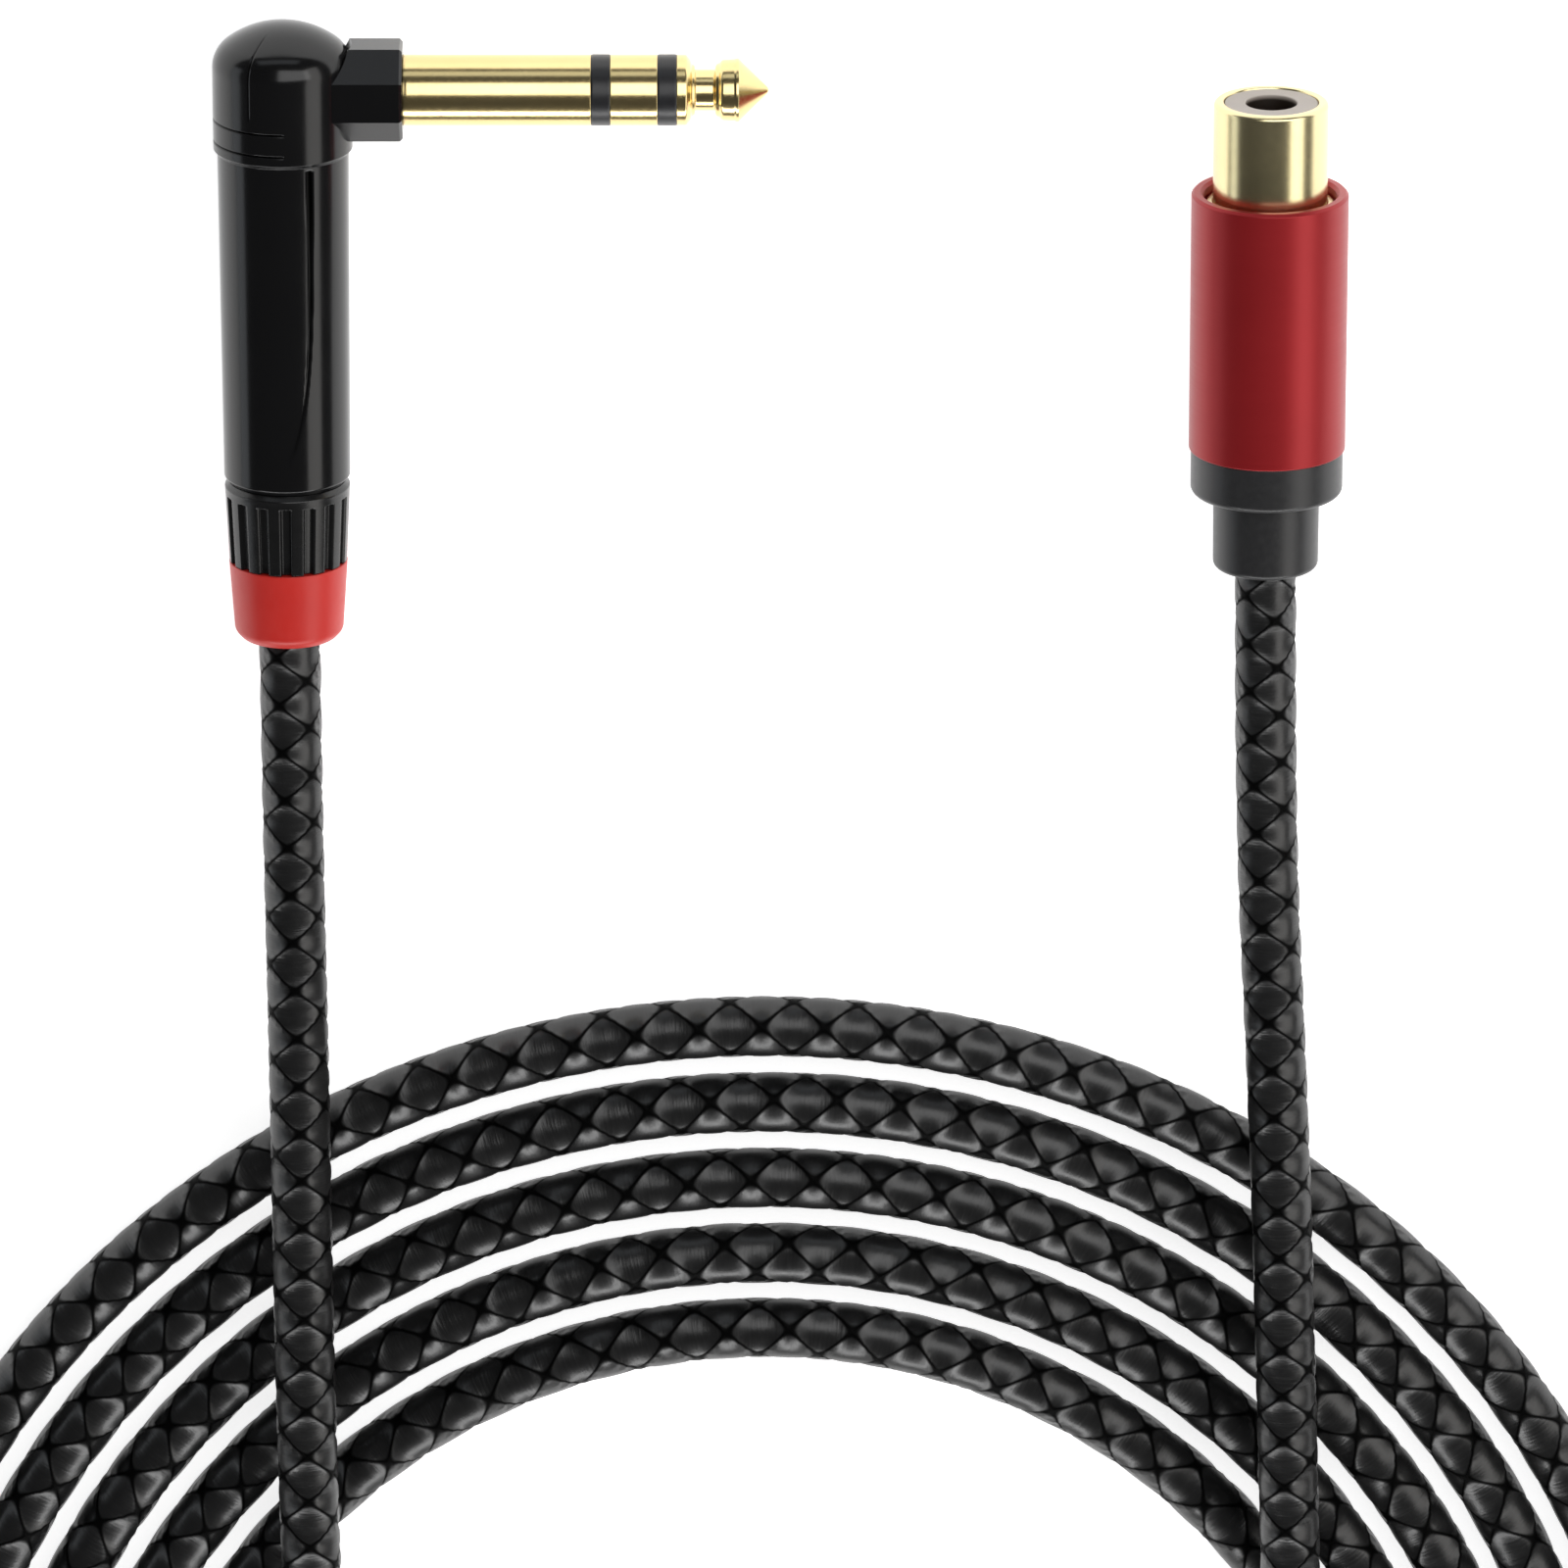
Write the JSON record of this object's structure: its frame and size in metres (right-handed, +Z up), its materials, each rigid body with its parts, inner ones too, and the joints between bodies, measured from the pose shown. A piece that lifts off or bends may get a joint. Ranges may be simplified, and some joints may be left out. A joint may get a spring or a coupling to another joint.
{
  "type": "instrument cable",
  "caption": "Coiled instrument cable with a right-angle 6.35 mm three-pole plug at one end and an inline phono socket at the other.",
  "frame": {"origin": "bottom centre of the plug's box, on the surface that the cable lies on", "axes": "+X along the plug's shaft towards its tip, +Y from the cord towards the plug's domed head, +Z up"},
  "size_m": [0.175, 0.2692, 0.014],
  "materials": {
    "gloss_black": "gloss",
    "gold": "polished gold plate",
    "band_black": "satin",
    "liner_plastic": "satin",
    "nut_black": "satin",
    "ring_red": "satin",
    "anodised_red": "satin anodised",
    "relief_charcoal": "satin",
    "insulator_taupe": "satin",
    "tinned_tag": "tinned",
    "solder": "bright",
    "core_white": "gloss",
    "core_red": "gloss",
    "screen_copper": "braided copper",
    "jacket_black": "embossed gloss"
  },
  "bodies": {
    "cable": {"plug_housing": "gloss_black", "shaft_collar": "gloss_black", "sleeve_contact": "gold", "rear_band": "band_black", "ring_contact": "gold", "front_band": "band_black", "tip_contact": "gold", "ring_liner": "liner_plastic", "tip_liner": "liner_plastic", "tip_tag": "tinned_tag", "ring_tag": "tinned_tag", "sleeve_tag": "tinned_tag", "clamp_collet": "nut_black", "plug_screen": "screen_copper", "tip_core": "core_white", "ring_core": "core_red", "plug_solder": "solder", "outer_contact": "gold", "face_insulator": "insulator_taupe", "centre_contact": "gold", "ground_tag": "tinned_tag", "socket_screen": "screen_copper", "signal_core": "core_white", "drain_core": "core_red", "socket_solder": "solder", "cord_coil": "jacket_black", "lead_to_plug": "jacket_black", "lead_to_socket": "jacket_black"},
    "gland": {"gland_nut": "nut_black", "end_ring": "ring_red"},
    "socket_shell": {"sleeve": "anodised_red", "strain_relief": "relief_charcoal"}
  },
  "joints": [
    {"name": "gland_slide", "type": "slide", "parent": "cable", "child": "gland", "axis": [0, -1, 0], "range_m": [0, 0.006]},
    {"name": "shell_slide", "type": "slide", "parent": "cable", "child": "socket_shell", "axis": [0, -1, 0], "range_m": [0, 0.016]}
  ]
}
